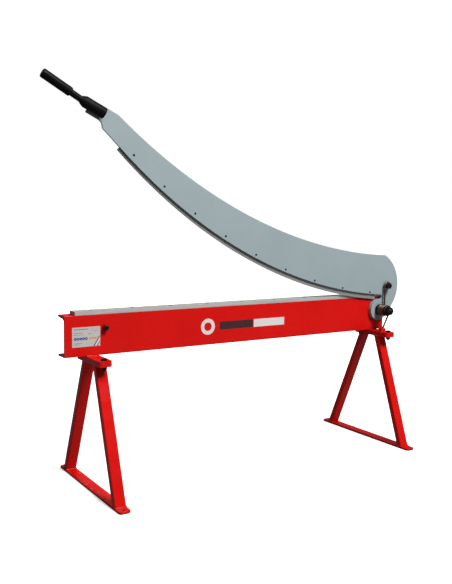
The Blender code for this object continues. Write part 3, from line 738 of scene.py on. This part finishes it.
def stand_hardware():
    """The four bolts down through the plates, heads up, and their nuts."""
    shank, head, threaded = 4.9 * MM, 6.6 * MM, 16.5 * MM
    for i in range(1, 5):
        bolt, nut = f"stand_bolt_{i}", f"stand_nut_{i}"
        spot = middle(bolt)
        low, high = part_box(bolt)
        place = Matrix.Translation(Vector((spot.x, spot.y, 0.0))) @ turned(17 * i)
        work = bmesh.new()
        hexagon(work, place, 17.0 * MM, high.z - head, high.z)
        plain = [(shank, high.z - 4.0 * MM), (shank, low.z + threaded - 0.5 * MM)]
        lathe(work, place, plain, 0.2 * MM)
        down = place @ Matrix.Rotation(math.pi, 4, "X")
        thread(work, down, shank, 1.5 * MM, -low.z - threaded, -low.z)
        refit(bolt, work)
        low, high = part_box(nut)
        work = bmesh.new()
        hexagon(work, place, 16.8 * MM, low.z, high.z, shank + 0.2 * MM)
        refit(nut, work)


def socket_screw(node, place, length):
    """A countersunk screw about Z, its head's face at height 0, with a hexagon socket."""
    head, shank, flats, deep = 7.8 * MM, 3.9 * MM, 5.0 * MM, 3.2 * MM
    rim, bevel = 0.2 * MM, 0.3 * MM
    cone = rim + 0.4 * MM
    steps = 48
    corner = [six_sided(flats, a) for a in around(steps)]

    def ring(radii, z):
        return [polar(place, r, a, z) for a, r in zip(around(steps), radii)]

    rings = [
        ring([0.55 * r for r in corner], -deep),
        ring(corner, bevel - deep),
        ring(corner, -rim - bevel),
        ring([r + bevel for r in corner], -rim),
    ]
    outer = [(head - 0.4 * MM, -rim), (head, -cone), (shank, -cone - (head - shank)),
             (shank, 0.6 * MM - length), (shank - 0.7 * MM, -length)]
    rings += [ring([r] * steps, z) for r, z in outer]
    work = bmesh.new()
    skin(work, rings)
    refit(node, work, smooth_to=30)


def blade_screws():
    """The screws of both blades, each with its socket at an angle of its own."""
    blade_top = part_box("lower_blade")[1].z
    blade_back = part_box("upper_blade")[1].y
    draw = random.Random(7)
    for i in range(1, 10):
        spot = middle(f"lower_blade_screw_{i}")
        turn = Matrix.Rotation(draw.uniform(0.0, 1.0), 4, "Z")
        place = Matrix.Translation(Vector((spot.x, spot.y, blade_top))) @ turn
        socket_screw(f"lower_blade_screw_{i}", place, 25.0 * MM)
        spot = middle(f"arm_screw_{i}")
        turn = Matrix.Rotation(draw.uniform(0.0, 1.0), 4, "Z")
        place = Matrix.Translation(Vector((spot.x, blade_back, spot.z))) @ FACING_BACK @ turn
        socket_screw(f"arm_screw_{i}", place, 15.3 * MM)


def spring_line():
    """The wire's centreline from the hook's end to the end of the lower leg."""
    points = []
    hook = Vector((COIL_RADIUS + HOOK_RADIUS, -COIL_NEAR, HOOK_HEIGHT))
    hook_steps, straight_steps = 32, 8
    for i in range(hook_steps + 1):
        a = math.radians(-25 + 205 * i / hook_steps)
        points.append(hook + HOOK_RADIUS * Vector((math.cos(a), 0.0, math.sin(a))))
    for i in range(1, straight_steps):
        points.append(Vector((COIL_RADIUS, -COIL_NEAR, HOOK_HEIGHT * (1 - i / straight_steps))))
    turn = 2 * math.pi * COIL_TURNS + WIRE_LEG_TILT
    steps = 56 * COIL_TURNS + 4
    for i in range(steps + 1):
        a = -turn * i / steps
        y = -COIL_NEAR + COIL_PITCH * a / (2 * math.pi)
        points.append(Vector((COIL_RADIUS * math.cos(a), y, COIL_RADIUS * math.sin(a))))
    down = Vector((-math.sin(WIRE_LEG_TILT), 0.0, -math.cos(WIRE_LEG_TILT)))
    last = points[-1]
    points += [last + down * WIRE_LEG_LENGTH * i / straight_steps for i in range(1, straight_steps + 1)]
    return [PIVOT + p for p in points]


def spring():
    """The torsion spring, its wire running from its fixed lower leg round the coil to the leg hooked to the arm.
    """
    points = spring_line()
    radii = [WIRE] * len(points)
    radii[0] = 0.85 * WIRE
    work = bmesh.new()
    sweep(work, points, radii, sides=20)
    obj = refit("return_spring", work, smooth_to=60, rides=False)
    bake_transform(obj)


def flat_mark(work, corners, slot, y):
    """A thin printed patch on a face that looks to the front, from its (x, z) corners."""
    front = [work.verts.new((x, y - INK, z)) for x, z in corners]
    back = [work.verts.new((x, y, z)) for x, z in corners]
    faces = [work.faces.new(front), work.faces.new(back[::-1])]
    for i in range(len(corners)):
        j = (i + 1) % len(corners)
        faces.append(work.faces.new((front[j], front[i], back[i], back[j])))
    for face in faces:
        face.material_index = slot


def bar(x, z, wide, high):
    return [(x, z), (x + wide, z), (x + wide, z + high), (x, z + high)]


def disc(x, z, radius, steps=28):
    return [(x + radius * math.cos(a), z + radius * math.sin(a)) for a in around(steps)]


def print_on_plate():
    """Plain bars, discs, patches and stripes where the rating plate carries its print."""
    low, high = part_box("rating_plate")
    y = low.y - 0.04 * MM
    draw = random.Random(3)
    inks = [
        ("ink_grey", (0.10, 0.10, 0.11)),
        ("ink_rose", (0.50, 0.16, 0.20)),
        ("ink_blue", (0.020, 0.028, 0.30)),
        ("ink_orange", (0.62, 0.24, 0.05)),
        ("ink_black", (0.02, 0.02, 0.025)),
        ("ink_white", (0.75, 0.76, 0.77)),
    ]
    grey, rose, blue, orange, black, white = range(len(inks))

    # Rows of short bars: height above the plate's foot, thickness, start, end, main ink, other ink
    rows = [
        (58.0, 3.6, 6.0, 54.0, rose, grey),
        (47.0, 1.6, 6.0, 34.0, grey, grey),
        (40.5, 1.6, 6.0, 42.0, rose, grey),
        (42.5, 1.8, 56.0, 68.0, grey, black),
        (51.0, 2.0, 78.0, 92.0, rose, rose),
        (12.0, 1.5, 8.0, 38.0, grey, grey),
        (8.0, 1.2, 8.0, 26.0, grey, grey),
    ]
    work = bmesh.new()
    for height, thick, start, end, ink, other in rows:
        x = start * MM
        while x < end * MM:
            wide = draw.uniform(0.0012, 0.0044)
            choice = ink if draw.random() < 0.7 else other
            flat_mark(work, bar(low.x + x, low.z + height * MM, wide, thick * MM), choice, y)
            x += wide + draw.uniform(0.0005, 0.0011)

    for k in range(5):
        x, z = low.x + (11.0 + 9.8 * k) * MM, low.z + 28.0 * MM
        flat_mark(work, disc(x, z, 4.8 * MM), blue, y)
        flat_mark(work, disc(x, z, 1.3 * MM), white, y - INK_LIFT)
    for k in range(3):
        x, z = low.x + (60.5 + 9.5 * k) * MM, low.z + 25.2 * MM
        flat_mark(work, bar(x, z, 7.0 * MM, 5.8 * MM), orange, y)

    # Slanting stripes in the lower right corner, kept inside the plate's edge
    wide, margin, slope = 3.4 * MM, 0.8 * MM, 1.55
    foot = low.z + margin
    for k, ink in enumerate((black, white, black, white)):
        x = high.x + (6.2 * k - 24.5) * MM
        top = min(low.z + 34.0 * MM, low.z + (high.x - 1.2 * MM - x) * slope)
        lean = 0.92 * (top - low.z) / slope
        corners = [(x, foot), (x + wide, foot), (x + wide + lean, top), (x + lean, top)]
        flat_mark(work, [(min(px, high.x - margin), pz) for px, pz in corners], ink, y)

    obj = finished("rating_print", work, "rating_plate", printed(*inks[0]), smooth_to=20)
    for name, ink in inks[1:]:
        obj.data.materials.append(printed(name, ink))


def beam_decal():
    """A plain decal on the web: a pale ring, and beside it a dark bar and a pale bar."""
    left = BEAM_LOW.x
    y = BEAM_LOW.y - INK_LIFT
    z = (BEAM_LOW.z + BEAM_HIGH.z) / 2 - 2.0 * MM
    high = 30.0 * MM
    work = bmesh.new()
    flat_mark(work, disc(left + 0.553, z, 30.0 * MM, 48), 0, y)
    flat_mark(work, disc(left + 0.553, z, 16.0 * MM, 40), 1, y - INK_LIFT)
    flat_mark(work, bar(left + 0.605, z - high / 2, 0.150, high), 2, y)
    flat_mark(work, bar(left + 0.759, z - high / 2, 0.146, high), 0, y)
    pale = printed("decal_pale", (0.70, 0.66, 0.65))
    obj = finished("beam_decal", work, "beam_channel", pale, smooth_to=20)
    obj.data.materials.append(PAINTS["red_paint"])
    obj.data.materials.append(printed("decal_dark", (0.030, 0.003, 0.004)))


# ------------------------------------------------------------------ studio


def stage_plane(name, size, paint):
    """A wide level sheet a hair under the feet, which belongs to the stage and not to the part."""
    work = bmesh.new()
    bmesh.ops.create_grid(work, x_segments=8, y_segments=8, size=size)
    mesh = bpy.data.meshes.new(name)
    work.to_mesh(mesh)
    work.free()
    mesh.materials.append(paint)
    obj = bpy.data.objects.new(name, mesh)
    obj.location.z = -0.4 * MM
    bpy.context.scene.collection.objects.link(obj)


def area_light(name, place, target, size, power, shines=True):
    data = bpy.data.lights.new(name, "AREA")
    data.shape = "DISK"
    data.size = size
    data.energy = power
    lamp = bpy.data.objects.new(name, data)
    lamp.location = place
    lamp.visible_glossy = shines
    lamp.rotation_euler = (Vector(target) - Vector(place)).to_track_quat("-Z", "Y").to_euler()
    bpy.context.scene.collection.objects.link(lamp)


def studio():
    """White paper and backdrop, one large lamp at the front right and a weaker one behind."""
    scene = bpy.context.scene
    scene.view_settings.view_transform = "Standard"
    world = bpy.data.worlds.new("studio")
    scene.world = world
    world.use_nodes = True
    nodes = world.node_tree.nodes
    seen = nodes["Background"]
    seen.inputs["Color"].default_value = (1.0, 1.0, 1.0, 1.0)
    felt = nodes.new("ShaderNodeBackground")
    felt.inputs["Color"].default_value = (0.95, 0.98, 1.0, 1.0)
    felt.inputs["Strength"].default_value = 0.11
    surface = nodes["World Output"].inputs["Surface"]
    world.node_tree.links.new(seen_or_felt(world.node_tree, seen.outputs[0], felt.outputs[0]), surface)
    stage_plane("floor", 14.0, floor_paint())
    centre = (0.0, 0.0, 0.7)
    area_light("key", (0.8, -3.7, 5.1), centre, size=2.4, power=510.0)
    area_light("back", (1.5, 4.5, 2.6), centre, size=2.5, power=190.0, shines=False)


def camera():
    """The photograph's camera: its lens and shift, and its yaw, pitch and roll."""
    data = bpy.data.cameras.new("camera")
    data.sensor_width = 36.0
    data.lens = 46.08
    data.shift_x = -0.0057
    data.shift_y = 0.0032
    data.clip_end = 60.0
    view = bpy.data.objects.new("camera", data)
    yaw, pitch, roll = math.radians(33.04), math.radians(5.888), math.radians(0.772)
    ahead = Vector((math.sin(yaw) * math.cos(pitch), math.cos(yaw) * math.cos(pitch), -math.sin(pitch)))
    right = Vector((math.cos(yaw), -math.sin(yaw), 0.0))
    up = right.cross(ahead)
    across = math.cos(roll) * right + math.sin(roll) * up
    upward = -math.sin(roll) * right + math.cos(roll) * up
    turn = Matrix((across, upward, -ahead)).transposed().to_4x4()
    eye = at(-0.8727, -2.3339, 0.9398)
    view.matrix_world = Matrix.Translation(eye) @ turn
    bpy.context.scene.collection.objects.link(view)
    bpy.context.scene.camera = view


camera()
studio()
plates_and_beam()
welds()
handle()
pivot_hardware()
stop_hardware()
hook_bolt()
stand_hardware()
blade_screws()
spring()
print_on_plate()
beam_decal()
